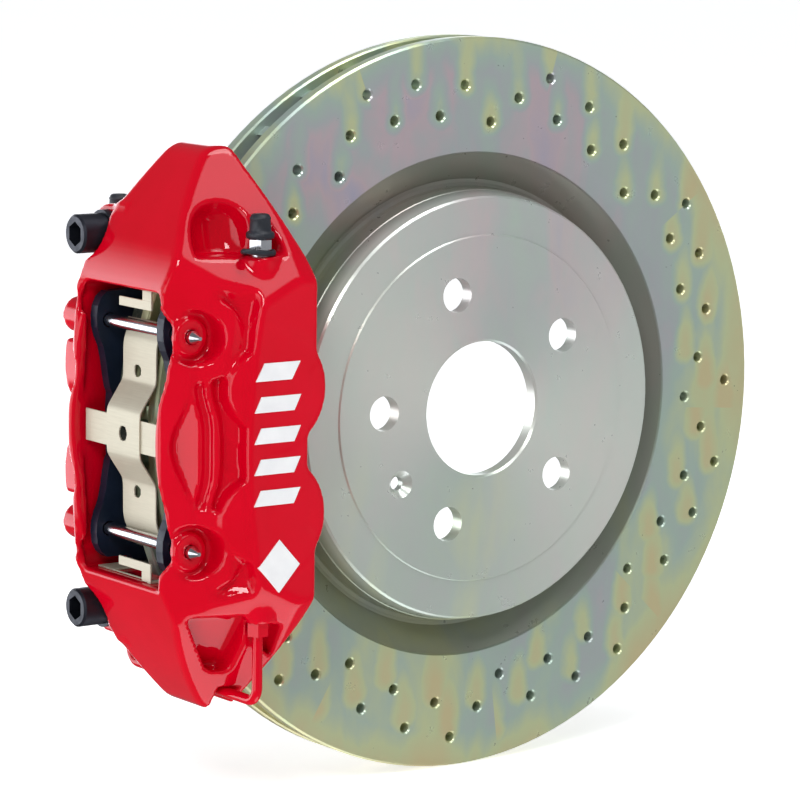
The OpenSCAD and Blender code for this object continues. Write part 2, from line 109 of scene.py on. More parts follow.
def add_bevel(obj, width, segments=2, angle=30):
    """Rounds the edges sharper than angle, and shades the rest by the flat faces."""
    bevel = obj.modifiers.new("edge", "BEVEL")
    bevel.width = width * MM
    bevel.segments = segments
    bevel.limit_method = "ANGLE"
    bevel.angle_limit = math.radians(angle)
    bevel.harden_normals = True
    return bevel


# -------------------------------------------------- implicit caliper casting

def smooth_max(a, b, k):
    h = np.clip(0.5 + 0.5 * (a - b) / k, 0, 1)
    return b + (a - b) * h + k * h * (1 - h)


def smooth_min(a, b, k):
    return -smooth_max(-a, -b, k)


def cut(a, b, k):
    """Takes b away from a with a rounded edge."""
    return smooth_max(a, -b, k)


def bump_at(v, centre, width, power=2):
    """One at the centre, falling to nothing at about the width."""
    return np.exp(-np.abs((v - centre) / width) ** power)


def step(v, low, high):
    t = np.clip((v - low) / (high - low), 0, 1)
    return t * t * (3 - 2 * t)


def profile(s, knots):
    """Straight lines through the knots, which are pairs of place and value; either may be an array."""
    total = knots[0][1]
    for (s0, v0), (s1, v1) in zip(knots, knots[1:]):
        total = total + (v1 - v0) * np.clip((s - s0) / (s1 - s0), 0, 1)
    return total


class Casting:
    """The caliper body as a signed distance, in millimetres, over a block of space.
    u is the distance from the disc's axis towards the bridge, v the distance from the disc's middle plane,
    z the height and w its size without sign."""

    def __init__(self, pitch):
        self.pitch = pitch
        self.low = np.array([-200.0, -50.0, -134.0])
        self.count = (np.array([92.0, 138.0, 268.0]) / pitch).astype(int)
        axes = [self.low[i] + pitch * np.arange(self.count[i]) for i in range(3)]
        x, y, z = np.meshgrid(*[a.astype(np.float32) for a in axes], indexing="ij", sparse=True)
        self.y, self.z = y, z
        self.u, self.v, self.w = -x, np.abs(y - MID_Y), np.abs(z)
        self.outboard = y < MID_Y

    def plane(self, point, normal):
        """Outside is positive. The point and normal are in u, v and w."""
        n = np.array(normal) / np.linalg.norm(normal)
        return (self.u - point[0]) * n[0] + (self.v - point[1]) * n[1] + (self.w - point[2]) * n[2]

    def tube_v(self, u, z, r, low, high):
        """A round bar along the disc's axis, between two distances from the middle plane."""
        side = np.hypot(self.u - u, self.z - z) - r
        return np.maximum(side, np.maximum(low - self.v, self.v - high))

    def pillar(self, u, y, r, low, high):
        """An upright round bar, between two heights without sign."""
        side = np.hypot(self.u - u, self.y - y) - r
        return np.maximum(side, np.maximum(low - self.w, self.w - high))

    def ball(self, u, v, w, r):
        return np.sqrt((self.u - u) ** 2 + (self.v - v) ** 2 + (self.w - w) ** 2) - r

    def hub_side(self):
        """The side towards the hub: straight, with a shallow notch in its middle."""
        notch = 4.5 * step(40 - np.abs(self.z + 4), 0, 5)
        flat = HUB_U + notch - self.u
        return smooth_max(flat, self.plane((HUB_U, 0, 79), (-42.5, 0, 15)), 3)

    def face_edge_u(self):
        """Where the outboard face ends and the shoulder begins."""
        return 158 - 11 * ((self.z + 2) / 80) ** 2

    def shoulder_plane(self):
        """The bare slope from the face's edge up to the rail."""
        return 0.6 * (self.u - self.face_edge_u()) + 0.8 * (self.v - HALF_W)

    def shoulder(self):
        """The slope from the face up to the rail. Along its length run a diamond-shaped hollow beside the
        rail, a sharp rib, a valley, a second rib and a wide trough; s is the distance up the slope."""
        s = 0.8 * (self.u - self.face_edge_u()) - 0.6 * (self.v - HALF_W)
        belly = bump_at(self.z, -2.5, 21, 4)
        rib = 26 - 4.7 * belly
        rail = np.maximum(25.5 + 9.5 * bump_at(self.z, -1, 19), rib + 1.9)
        low_rib = 19.5 - 5 * belly
        hollow = 0.8 + np.minimum(0.36 * (rail - rib - 1.2), 4.6)
        trough = [(0, 0), (5, 7.5), (low_rib - 2.8, 7.5)]
        ribs = [(low_rib - 1.3, 3.0), (low_rib + 1.3, 2.6), (low_rib + 2.4, 4.4), (rib - 1.6, 4.0)]
        depth = profile(s, trough + ribs + [(rib, 0.8), (rail - 1.2, hollow), (rail + 0.4, 0)])
        middle = 1 - step(self.w, 34, 52)
        plain = profile(s, [(0, 0), (5, 6.0), (17, 6.0), (25, 0.6)])
        depth = middle * depth + (1 - middle) * plain * (1 - step(self.w, 62, 74))
        return self.shoulder_plane() + depth

    def end_slope(self):
        """The flat that slopes from the face down to the casting's end."""
        return self.plane((HUB_U, HALF_W, 78), (0.288, 0.772, 0.566))

    def envelope(self):
        """The casting's outside without its bosses."""
        body = smooth_max(np.hypot(self.u, self.w) - SHELL_R, self.u - RAIL_U, 4)
        hollow = 3.6 * (1 - bump_at(self.z, -1, 17, 4)) * (1 - step(self.w, 56, 64))
        body = smooth_max(body, self.shoulder() + np.where(self.outboard, 0, hollow), 1.2)
        body = smooth_max(body, self.v - HALF_W, 2.2)
        body = smooth_max(body, self.w - END_Z, 5)
        body = smooth_max(body, self.end_slope(), 2.5)
        hub_bevel = self.plane((130, 52.6, 87.6), (-0.12, 0.80, 0.59))
        body = smooth_max(body, np.where(self.w > 60, hub_bevel, -50), 1.5)
        return smooth_max(body, self.hub_side(), 2)

    def piston_bosses(self):
        """Two drums each side, seen past the face's edge; inboard they reach up to the rail."""
        lean = self.shoulder_plane()
        bosses = None
        for z, rear_z in zip(PISTON_Z, (26.0, -27.0)):
            drum = smooth_max(np.hypot(self.u - PISTON_U, self.z - z) - 28, self.u - 165.5, 2)
            drum = smooth_max(drum, lean + 6.5, 1.2)
            rear = np.hypot(np.maximum(self.u - 155, 0) + np.maximum(142 - self.u, 0), self.z - rear_z) - 26
            rear = smooth_max(smooth_max(rear, self.u - 179, 4), lean - 12.0, 2)
            drum = smooth_max(np.where(self.outboard, drum, rear), self.v - HALF_W, 2.2)
            drum = np.maximum(drum, 30 - self.v)
            bosses = drum if bosses is None else np.minimum(bosses, drum)
        return bosses

    def bore_walls(self):
        """The metal round the cylinders, left standing in the trough. Its ends show as rounded lobes."""
        walls = None
        for z, radius in zip(PISTON_Z, BORE_WALL_R):
            drum = np.hypot(self.u - PISTON_U, self.z - z) - radius
            drum = np.maximum(drum, np.maximum(self.v - 61.5, 30 - self.v))
            drum = smooth_max(drum, self.shoulder_plane() + 0.1, 1.2)
            walls = drum if walls is None else np.minimum(walls, drum)
        return walls

    def pin_bosses(self, body):
        """A dome round each pad pin, a hollow in it, and the boss that carries the pin."""
        reach = np.hypot(self.u - PIN_U, self.w - PIN_Z)
        dome = smooth_max(reach - 20.5, self.shoulder_plane() + 1.0, 3)
        dome = smooth_max(dome, self.v - 55, 2)
        dome = smooth_max(dome, self.u - RAIL_U + 1, 2)
        body = smooth_min(body, np.maximum(dome, 34 - self.v), 3)
        hollow = smooth_max(reach - 12.0, 41.5 - self.v, 3)
        body = cut(body, hollow, 2)
        boss = smooth_max(reach - 8.6, self.v - np.where(self.outboard, 44.2, 53), 1.6)
        return smooth_min(body, np.maximum(boss, 32 - self.v), 1.8)

    def end_details(self, body):
        """Ledge, scoop and bosses at the outboard ends. The top end holds the bleed screw, the bottom end
        the tube."""
        top = self.outboard & (self.z > 0)
        low = self.outboard & (self.z < 0)
        scoop = smooth_min(self.ball(157, 38, 96, 13.2), self.ball(157.5, 42, 88, 14.2), 4)
        scoop = smooth_min(scoop, self.pillar(-BLEED_X, BLEED_Y, 8.6, LEDGE_Z - 2, 104), 3)
        scoop = smooth_max(scoop, LEDGE_Z - self.w, 1.2)
        front = smooth_max(smooth_max(LEDGE_Z - self.w, np.abs(self.u - 153) - 20, 3), 44 - self.v, 4)
        front = smooth_max(front, self.w - 92, 4)
        body = np.where(top, cut(cut(body, scoop, 2), front, 1.6), body)
        collar = np.maximum(np.hypot(self.u + BLEED_X, self.y - BLEED_Y) - 8.2, np.abs(self.w - 74) - 9)
        body = np.where(top, smooth_min(body, collar, 2), body)
        depth = self.end_slope()
        pocket = smooth_max(79 - self.w, 0.828 * self.u + 0.563 * self.w - 190, 4)
        pocket = smooth_max(pocket, 146.5 - self.u, 3)
        pocket = smooth_max(pocket, smooth_max(self.w - 108, -8.5 - depth, 4), 4)
        corner = smooth_max(np.abs(self.u - 136.5 + 0.12 * (self.w - 86)) - 3.6, 84 - self.w, 2)
        corner = smooth_max(corner, smooth_max(self.w - 99 + 0.9 * (self.u - 134), -6.5 - depth, 3), 3)
        seat = smooth_max(np.hypot(self.u + BLEED_X, self.y - BLEED_Y + 1.6) - 6.6, self.w - LEDGE_Z, 3)
        seat = smooth_max(seat, 62 - self.w, 3)
        hole = self.pillar(-BLEED_X, BLEED_Y, 6.0, LEDGE_Z, 140)
        lower = cut(cut(cut(body, pocket, 2), corner, 1.5), hole, 1.5)
        lower = smooth_min(lower, seat, 2.5)
        return np.where(low, lower, body)

    def inboard_ends(self, body):
        """Behind the ears the inboard half is only as deep as the bridge."""
        deep = smooth_max(self.w - 70, self.v - HALF_W, 6)
        shallow = smooth_min(self.v - 37.5 + step(self.w, 106, 130) * 11, deep, 6)
        return np.where(self.outboard, body, smooth_max(body, shallow, 4))

    def ears(self, body):
        """The two inboard ears that the mounting bolts pass through."""
        reach = np.hypot(self.y - EAR_Y, self.w - EAR_Z)
        ends = np.maximum(self.u - EAR_TOP_U, EAR_LOW_U - self.u)
        ear = np.maximum(reach - 13, ends)
        web = np.maximum(np.maximum(np.abs(self.w - EAR_Z) - 13, np.abs(self.y - 48) - 9), ends)
        body = smooth_min(body, np.minimum(ear, web), 5)
        seat = np.where(self.outboard, 50, np.maximum(reach - 11.5, EAR_TOP_U - self.u))
        bore = np.where(self.outboard, 50, reach - 6.3)
        return np.maximum(cut(body, seat, 1), -bore)

    def window(self):
        """The opening over the pads, wider on the inboard side and waved along both edges."""
        wave = 5 * (1 - bump_at(self.z, 0, 21, 2)) * (1 - step(self.w, 50, 62))
        outboard_edge = MID_Y + 16.3 + wave
        inboard_edge = 36.2 - wave - 3.6 * step(self.w, 52, 64)
        side = np.where(self.outboard, self.v - outboard_edge, self.v - inboard_edge)
        opening = smooth_max(side, self.w - WINDOW_Z, 6)
        pocket = np.maximum(np.maximum(self.v - 35, self.w - WINDOW_Z), self.u - 184)
        return np.minimum(opening, pocket)

    def bores(self, body):
        """The cylinders, the pins' holes, the screws' holes and the groove that the tube lies in."""
        for z, r in zip(PISTON_Z, BORE_R):
            body = cut(body, self.tube_v(PISTON_U, z, r, 0, 48.0), 0.8)
        body = np.maximum(body, -np.maximum(np.hypot(self.u - PIN_U, self.w - PIN_Z) - 3.1, self.v - 56))
        for x, y in ((BLEED_X, BLEED_Y), (REAR_BLEED_X, REAR_Y)):
            body = np.maximum(body, -np.where(self.z > 0, self.pillar(-x, y, 5.05, 64, 84), 50))
        for y in (BLEED_Y, REAR_Y):
            body = np.maximum(body, -np.where(self.z < 0, self.pillar(-BLEED_X, y, 5.05, 64, 84), 50))
        tube_groove = np.maximum(np.abs(self.u + BLEED_X) - 4.2, 117 - self.w)
        body = np.where(self.z < 0, cut(body, tube_groove, 1), body)
        return body

    def solid(self):
        """The whole casting: outside, bosses, ends and ears, with its openings cut last."""
        body = self.envelope()
        body = smooth_min(body, self.piston_bosses(), 1)
        body = smooth_min(body, self.bore_walls(), 0.8)
        body = self.inboard_ends(body)
        body = self.pin_bosses(body)
        body = self.end_details(body)
        body = self.ears(body)
        rear_posts = np.where(self.z > 0, self.pillar(-REAR_BLEED_X, REAR_Y, 8, 40, LEDGE_Z),
                              self.pillar(-BLEED_X, REAR_Y, 8, 40, LEDGE_Z))
        body = smooth_min(body, rear_posts, 3)
        body = cut(body, self.window(), 3)
        slot = np.maximum(np.hypot(self.u, self.w) - SLOT_R, self.v - SLOT_HALF_W)
        body = cut(body, slot, 1.5)
        return self.bores(body)

    def mesh(self):
        """The surface as points and faces."""
        grid = openvdb.FloatGrid(background=self.pitch * 3)
        band = np.clip(self.solid(), -3 * self.pitch, 3 * self.pitch).astype(np.float64)
        grid.copyFromArray(band)
        points, triangles, quads = grid.convertToPolygons(isovalue=0.0, adaptivity=0.0)
        points = self.low + points * self.pitch
        return points, [tuple(t[::-1]) for t in triangles] + [tuple(q[::-1]) for q in quads]


def caliper_casting():
    casting = Casting(1.2)
    points, faces = casting.mesh()
    body = new_piece("caliper_casting", points, faces, "caliper", "red_lacquer")
    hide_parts("caliper_body")
    return body


# ---------------------------------------------------- pressed and moulded pieces

def rounded_path(corners, rounds=3):
    """The corners of a line, softened by cutting each corner a few times."""
    path = [np.array(c, float) for c in corners]
    for _ in range(rounds):
        fresh = [path[0]]
        for a, b in zip(path, path[1:]):
            fresh += [0.8 * a + 0.2 * b, 0.2 * a + 0.8 * b]
        path = fresh + [path[-1]]
    return path


def even_path(path, pitch):
    """Points at even distances along a line, and those distances."""
    lengths = np.concatenate([[0], np.cumsum([np.linalg.norm(b - a) for a, b in zip(path, path[1:])])])
    count = max(2, int(lengths[-1] / pitch))
    at = np.linspace(0, lengths[-1], count + 1)
    return np.stack([np.interp(at, lengths, [p[k] for p in path]) for k in range(2)], 1), at


def pressed_sheet(name, corners, low_y, high_y, thickness, holes, body, slot):
    """A strip of sheet bent along a line of X and Z; holes are (distance along, y, radius)."""
    path, at = even_path(rounded_path(corners), SHEET_PITCH)
    across = np.linspace(low_y, high_y, max(2, int((high_y - low_y) / SHEET_PITCH)) + 1)
    verts, flat = [], []
    for (x, z), t in zip(path, at):
        for y in across:
            here = np.array([t, y])
            for hole_t, hole_y, radius in holes:
                away = here - (hole_t, hole_y)
                size = np.linalg.norm(away)
                if abs(size - radius) < 0.55 * SHEET_PITCH:
                    here = here + away / size * (radius - size)
            verts.append((np.interp(here[0], at, path[:, 0]), here[1], np.interp(here[0], at, path[:, 1])))
            flat.append(here)
    faces = []
    for i in range(len(path) - 1):
        for j in range(len(across) - 1):
            corner = i * len(across) + j
            face = (corner, corner + 1, corner + len(across) + 1, corner + len(across))
            middle = np.mean([flat[k] for k in face], 0)
            if all(np.linalg.norm(middle - (t, y)) > radius for t, y, radius in holes):
                faces.append(face)
    sheet = new_piece(name, verts, faces, body, slot)
    solid = sheet.modifiers.new("thickness", "SOLIDIFY")
    solid.thickness = thickness * MM
    solid.offset = 0.0
    add_bevel(sheet, 0.16, 1, 50)
    return sheet


def lathe(name, centre, outline, body, slot, sides=40):
    """A turned piece on an upright axis; the outline is pairs of radius and height."""
    verts, faces = [], []
    for radius, height in outline:
        for k in range(sides):
            a = 2 * math.pi * k / sides
            verts.append((centre[0] + radius * math.cos(a), centre[1] + radius * math.sin(a),
                          centre[2] + height))
    for i in range(len(outline) - 1):
        for k in range(sides):
            a, b = i * sides + k, i * sides + (k + 1) % sides
            faces.append((a, b, b + sides, a + sides))
    faces.append(tuple(reversed(range(sides))))
    faces.append(tuple(range(len(verts) - sides, len(verts))))
    piece = new_piece(name, verts, faces, body, slot)
    fix_normals(piece)
    return piece


def pad_spring():
    """A thin cross: a strip along the window that rises to a crown, and a wing to each side of it."""
    line = [(-172.6, 51.0), (-173.0, 46.0), (-174.6, 42.0), (-175.2, 38.0), (-175.2, 23.5), (-177.0, 20.5),
            (-182.8, 12.0), (-184.0, 9.4)]
    corners = line + [(x, -z) for x, z in reversed(line)]
    length = even_path(rounded_path(corners), SHEET_PITCH)[1][-1]
    strip = pressed_sheet("spring_strip", corners, 4.0, 32.0, 0.8,
                          [(length / 2, 18, 3.4), (length / 2 - 30, 19.5, 2.8), (length / 2 + 30, 19.5, 2.8)],
                          "caliper", "stainless")
    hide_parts("pad_spring")
    for side, name in ((-1, "spring_wing_outboard"), (1, "spring_wing_inboard")):
        near, far = sorted((MID_Y + side * 13.6, MID_Y + side * 33.3))
        line = [(-183.2, 7.4), (-183.2, -7.4)]
        wing = pressed_sheet(name, line, near, far, 0.8, [], "caliper", "stainless")
        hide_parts("pad_spring")


def bleeder(side, x, y, turn):
    """The rubber cap of a bleed screw, and the strap that ties it to the ring round the screw's neck."""
    base = LEDGE_Z + 7.8
    rim = [(4.0, 0.2), (5.9, 0.0), (6.4, 0.5), (6.4, 2.3), (6.0, 2.9), (5.2, 3.2)]
    crown = [(4.9, 3.8), (4.55, 8.4), (4.75, 8.7), (4.75, 9.3), (4.4, 9.7), (4.0, 10.6), (3.2, 11.0),
             (1.2, 11.1)]
    cap = lathe("rubber_cap_" + side, (x, y, base), rim + crown, "bleed_cap_" + side, "black_rubber")
    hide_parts("bleed_cap_" + side)
    ring = oval_band("strap_" + side, (x, y, LEDGE_Z + 1.5), turn, "caliper", "black_rubber")
    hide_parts("cap_strap_" + side)


def oval_band(name, centre, turn, body, slot):
    """A flat rubber eyelet, round on one side of the screw and drawn out on the other."""
    verts, faces = [], []
    sides, ring = 56, 10
    for i in range(sides):
        a = 2 * math.pi * i / sides
        stretch = 1.0 + 0.95 * max(0.0, math.cos(a)) ** 1.4
        for k in range(ring):
            b = 2 * math.pi * k / ring
            reach = 6.2 + 1.0 * math.cos(b)
            x, y, z = reach * stretch * math.cos(a), reach * math.sin(a), 1.25 * math.sin(b)
            z += 1.6 * max(0.0, math.cos(a)) ** 3
            t = math.radians(turn)
            verts.append((centre[0] + x * math.cos(t) - y * math.sin(t),
                          centre[1] + x * math.sin(t) + y * math.cos(t), centre[2] + z))
    for i in range(sides):
        for k in range(ring):
            a, b = i * ring, ((i + 1) % sides) * ring
            faces.append((a + k, b + k, b + (k + 1) % ring, a + (k + 1) % ring))
    band = new_piece(name, verts, faces, body, slot)
    fix_normals(band)
    return band


def boxes(name, corners, body, slot, bevel):
    """Several boxes in one piece, each given by its lowest and highest corner."""
    verts, faces = [], []
    for low, high in corners:
        base = len(verts)
        verts += [(x, y, z) for z in (low[2], high[2]) for x, y in
                  ((low[0], low[1]), (high[0], low[1]), (high[0], high[1]), (low[0], high[1]))]
        faces += [tuple(base + k for k in f) for f in
                  ((3, 2, 1, 0), (4, 5, 6, 7), (0, 1, 5, 4), (1, 2, 6, 5), (2, 3, 7, 6), (3, 0, 4, 7))]
    piece = new_piece(name, verts, faces, body, slot, smooth=False)
    add_bevel(piece, bevel)
    return piece


def abutments():
    """Sheet plates on the end walls, each with a foot and a tab folded over the pads' gap."""
    for name, sign in (("upper", 1), ("lower", -1)):
        parts = [((-176, -12.8, 65.6), (-128, 1.8, 66.4)), ((-176, 34.4, 65.6), (-128, 47.9, 66.4)),
                 ((-181.4, -1, 65.4), (-175.5, 1.8, 66.4)), ((-179.0, 1.0, 65.7), (-177.8, 47, 66.3)),
                 ((-179.0, 34.4, 65.6), (-175.5, 47.9, 66.4)), ((-181.4, -1, 58.0), (-180.6, 6.5, 66.0)),
                 ((-181.5, -1.1, 57.4), (-180.5, 26, 61.6))]
        flipped = [((a[0], a[1], min(sign * a[2], sign * b[2])), (b[0], b[1], max(sign * a[2], sign * b[2])))
                   for a, b in parts]
        plate = boxes("abutment_plate_" + name, flipped, "caliper", "stainless", 0.2)
        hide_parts("abutment_" + name)


def face_stripes():
    """Plain white stripes and a diamond on the outboard face, in place of any lettering."""
    face = MID_Y - HALF_W
    shapes = [[(-150, 37), (-131, 37), (-135.5, 29), (-154.5, 29)]]
    for k in range(4):
        top = 22 - 14 * k
        shapes.append([(-151.5, top), (-130.5, top), (-134, top - 7), (-155, top - 7)])
    shapes.append([(-141.5, -43), (-130.5, -55), (-141.5, -67), (-152.5, -55)])
    for k, shape in enumerate(shapes):
        verts = [(x, face - h, z) for h in (-1.0, 0.55) for x, z in shape]
        faces = [(4, 5, 6, 7), (3, 2, 1, 0)] + [(i, (i + 1) % 4, 4 + (i + 1) % 4, 4 + i) for i in range(4)]
        stripe = new_piece("face_stripe_%d" % k, verts, faces, "caliper", "white_paint", smooth=False)
        fix_normals(stripe)


# --------------------------------------------------------------- materials

class Nodes:
    """Short calls for building one material."""

    def __init__(self, name):
        self.material = bpy.data.materials.new(name)
        self.material.use_nodes = True
        self.tree = self.material.node_tree
        self.shader = self.tree.nodes["Principled BSDF"]
        self.object = self.tree.nodes.new("ShaderNodeTexCoord").outputs["Object"]

    def link(self, source, target):
        if isinstance(source, bpy.types.NodeSocket):
            self.tree.links.new(source, target)
        else:
            target.default_value = source

    def math(self, operation, a, b=0.0, c=0.0):
        node = self.tree.nodes.new("ShaderNodeMath")
        node.operation = operation
        for value, socket in zip((a, b, c), node.inputs):
            self.link(value, socket)
        return node.outputs[0]

    def noise(self, scale, detail=4.0, roughness=0.55, vector=None, distortion=0.0):
        node = self.tree.nodes.new("ShaderNodeTexNoise")
        self.link(vector or self.object, node.inputs["Vector"])
        node.inputs["Scale"].default_value = scale
        node.inputs["Detail"].default_value = detail
        node.inputs["Roughness"].default_value = roughness
        node.inputs["Distortion"].default_value = distortion
        return node.outputs["Fac"]

    def ramp(self, factor, stops):
        node = self.tree.nodes.new("ShaderNodeValToRGB")
        self.link(factor, node.inputs["Fac"])
        elements = node.color_ramp.elements
        while len(elements) < len(stops):
            elements.new(0.5)
        for element, (place, colour) in zip(elements, stops):
            element.position = place
            element.color = (*colour, 1.0)
        return node.outputs["Color"]

    def map(self, value, low, high, to_low, to_high):
        node = self.tree.nodes.new("ShaderNodeMapRange")
        for v, socket in zip((value, low, high, to_low, to_high), node.inputs):
            self.link(v, socket)
        return node.outputs[0]

    def mix(self, factor, a, b):
        node = self.tree.nodes.new("ShaderNodeMix")
        node.data_type = "RGBA"
        self.link(factor, node.inputs[0])
        self.link(a if isinstance(a, bpy.types.NodeSocket) else (*a, 1.0), node.inputs[6])
        self.link(b if isinstance(b, bpy.types.NodeSocket) else (*b, 1.0), node.inputs[7])
        return node.outputs[2]

    def bump(self, height, strength, distance):
        node = self.tree.nodes.new("ShaderNodeBump")
        node.inputs["Strength"].default_value = strength
        node.inputs["Distance"].default_value = distance * MM
        self.link(height, node.inputs["Height"])
        self.link(node.outputs["Normal"], self.shader.inputs["Normal"])

    def set(self, **values):
        for name, value in values.items():
            self.link(value, self.shader.inputs[name.replace("_", " ")])


def red_lacquer():
    n = Nodes("red_lacquer")
    cloud = n.noise(18, 3)
    n.set(Base_Color=n.ramp(cloud, [(0.3, (0.58, 0.0, 0.010)), (0.7, (0.66, 0.0, 0.015))]),
          Roughness=n.map(n.noise(160, 4), 0.3, 0.7, 0.45, 0.6), Coat_Weight=1.0, Coat_Roughness=0.03,
          Coat_IOR=1.42, Specular_IOR_Level=0.0)
    n.bump(n.noise(420, 3), 0.10, 0.08)
    return n.material


def white_paint():
    n = Nodes("white_paint")
    n.set(Base_Color=n.ramp(n.noise(90, 4), [(0.3, (0.82, 0.82, 0.83)), (0.7, (0.9, 0.9, 0.9))]),
          Roughness=n.map(n.noise(300, 3), 0.3, 0.7, 0.28, 0.4), Coat_Weight=0.6, Coat_Roughness=0.08)
    n.bump(n.noise(900, 3), 0.1, 0.05)
    return n.material


def plain_metal(name, dark, light, rough, grain=(40, 400, 40), metallic=1.0):
    """A metal with fine directional grain and a little cloudiness."""
    n = Nodes(name)
    stretch = n.tree.nodes.new("ShaderNodeMapping")
    stretch.inputs["Scale"].default_value = grain
    n.link(n.object, stretch.inputs["Vector"])
    lines = n.noise(6, 5, 0.6, stretch.outputs["Vector"])
    cloud = n.noise(35, 4)
    both = n.math("MULTIPLY_ADD", lines, 0.5, n.math("MULTIPLY", cloud, 0.5))
    n.set(Base_Color=n.ramp(both, [(0.35, dark), (0.65, light)]), Metallic=metallic,
          Roughness=n.map(both, 0.3, 0.7, rough[0], rough[1]))
    n.bump(lines, 0.25, 0.06)
    return n.material


def rubber():
    n = Nodes("black_rubber")
    n.set(Base_Color=n.ramp(n.noise(120, 5), [(0.3, (0.010, 0.012, 0.017)), (0.7, (0.028, 0.032, 0.042))]),
          Roughness=n.map(n.noise(260, 4), 0.3, 0.7, 0.42, 0.62))
    n.bump(n.noise(700, 4), 0.3, 0.08)
    return n.material


def black_paint():
    n = Nodes("black_steel")
    n.set(Base_Color=n.ramp(n.noise(45, 5), [(0.3, (0.003, 0.007, 0.018)), (0.7, (0.010, 0.017, 0.036))]),
          Roughness=n.map(n.noise(200, 4), 0.3, 0.7, 0.28, 0.48), Specular_IOR_Level=0.3)
    n.bump(n.noise(500, 4), 0.25, 0.1)
    return n.material


def friction():
    n = Nodes("friction_material")
    grit = n.noise(900, 6, 0.7)
    n.set(Base_Color=n.ramp(grit, [(0.32, (0.020, 0.028, 0.022)), (0.6, (0.075, 0.095, 0.070)),
                                   (0.78, (0.22, 0.20, 0.15))]),
          Roughness=0.85)
    n.bump(grit, 0.6, 0.3)
    return n.material


def black_oxide():
    n = Nodes("black_oxide")
    n.set(Base_Color=n.ramp(n.noise(60, 5), [(0.3, (0.012, 0.014, 0.022)), (0.7, (0.035, 0.037, 0.05))]),
          Metallic=0.6, Roughness=n.map(n.noise(300, 4), 0.3, 0.7, 0.32, 0.5))
    n.bump(n.noise(900, 3), 0.2, 0.05)
    return n.material


def hole_marks(n, x, z, angle):
    """How strongly the run mark above the nearest drilled hole colours a point, from 0 to 1."""
    turn = n.math("SUBTRACT", angle, math.radians(DRILL_FIRST))
    cell = n.math("FLOOR", n.math("DIVIDE", turn, math.radians(DRILL_PERIOD)))
    start = n.math("MULTIPLY_ADD", cell, math.radians(DRILL_PERIOD), math.radians(DRILL_FIRST))
    wander = n.map(n.noise(70, 3), 0.2, 0.8, -1.6, 1.6)
    total = 0.0
    for ring, place in DRILL_PATTERN:
        radius = DRILL_INNER + DRILL_STEP * ring
        at = n.math("ADD", start, math.radians(place))
        across = n.math("SUBTRACT", x, n.math("MULTIPLY", n.math("COSINE", at), radius))
        across = n.math("ADD", across, wander)
        above = n.math("SUBTRACT", z, n.math("MULTIPLY", n.math("SINE", at), radius))
        stretch = n.map(above, -3.0, 6.0, 1.0, 0.30)
        above = n.math("ABSOLUTE", n.math("MULTIPLY", above, stretch))
        far = n.math("SQRT", n.math("ADD", n.math("POWER", n.math("ABSOLUTE", across), 2.0),
                                    n.math("POWER", above, 2.0)))
        total = n.math("MAXIMUM", total, n.map(far, 7.5, 2.0, 0.0, 1.0))
    return total


def zinc():
    """Yellow passivated zinc: a thin film whose colour drifts, with run marks above the drilled holes, a
    painted sheen on the hat and painted shade in the groove beside it.
    """
    n = Nodes("zinc_plated_iron")
    split = n.tree.nodes.new("ShaderNodeSeparateXYZ")
    n.link(n.object, split.inputs[0])
    x, z = (n.math("MULTIPLY", split.outputs[i], 1000.0) for i in (0, 2))
    radius = n.math("SQRT", n.math("ADD", n.math("MULTIPLY", x, x), n.math("MULTIPLY", z, z)))
    angle = n.math("ARCTAN2", z, x)
    runs = n.tree.nodes.new("ShaderNodeMapping")
    runs.inputs["Scale"].default_value = (1.0, 1.0, 0.45)
    n.link(n.object, runs.inputs["Vector"])
    drift = n.noise(11, 3, 0.55, runs.outputs["Vector"], 0.9)
    fine = n.noise(34, 4, 0.6, runs.outputs["Vector"], 0.5)
    rim = n.map(radius, 158, 175, 0.0, 0.17)
    lower = n.map(z, 60, -175, 0.0, 0.07)
    film = n.math("ADD", n.math("ADD", n.math("MULTIPLY", drift, 0.72), n.math("MULTIPLY", fine, 0.26)),
                  n.math("ADD", rim, lower))
    film = n.math("MULTIPLY_ADD", hole_marks(n, x, z, angle), 0.20, film)
    hues = [(0.34, (0.48, 0.46, 0.56)), (0.42, (0.60, 0.49, 0.52)), (0.49, (0.48, 0.52, 0.52)),
            (0.57, (0.46, 0.58, 0.50)), (0.68, (0.62, 0.68, 0.40)), (0.84, (0.68, 0.60, 0.34))]
    colour = n.ramp(film, hues)
    wall = n.map(radius, 121.2, 120.2, 0.0, 1.0)
    hat = n.map(radius, 103.5, 101.5, 0.0, 1.0)
    # Painted sheen: the hat takes a lighter colour in two opposite lobes that peak at 160 and 340 degrees
    # round the axis, in place of the reflection that sweeps across the turned hat.
    turn = n.math("COSINE", n.math("MULTIPLY", n.math("SUBTRACT", angle, math.radians(160)), 2.0))
    painted_hat_sheen = n.map(turn, -1.0, 1.0, 0.35, 1.0)
    hat_tone_and_sheen = n.ramp(fine, [(0.3, (0.80, 0.78, 0.72)), (0.7, (0.74, 0.80, 0.72))])
    colour = n.mix(n.math("MULTIPLY", hat, painted_hat_sheen), colour, hat_tone_and_sheen)
    # Painted shade: the groove between the braking ring's inner edge and the hat is darkened to a dark olive,
    # in place of the shade that falls in that recess.
    groove_shade = n.math("MULTIPLY", wall, n.math("SUBTRACT", 1.0, hat))
    colour = n.mix(n.math("MULTIPLY", groove_shade, 0.75), colour, (0.20, 0.20, 0.14))
    n.set(Base_Color=colour, Metallic=0.55, Roughness=n.map(n.noise(120, 5), 0.3, 0.7, 0.27, 0.38))
    n.bump(n.noise(300, 5), 0.14, 0.1)
    return n.material


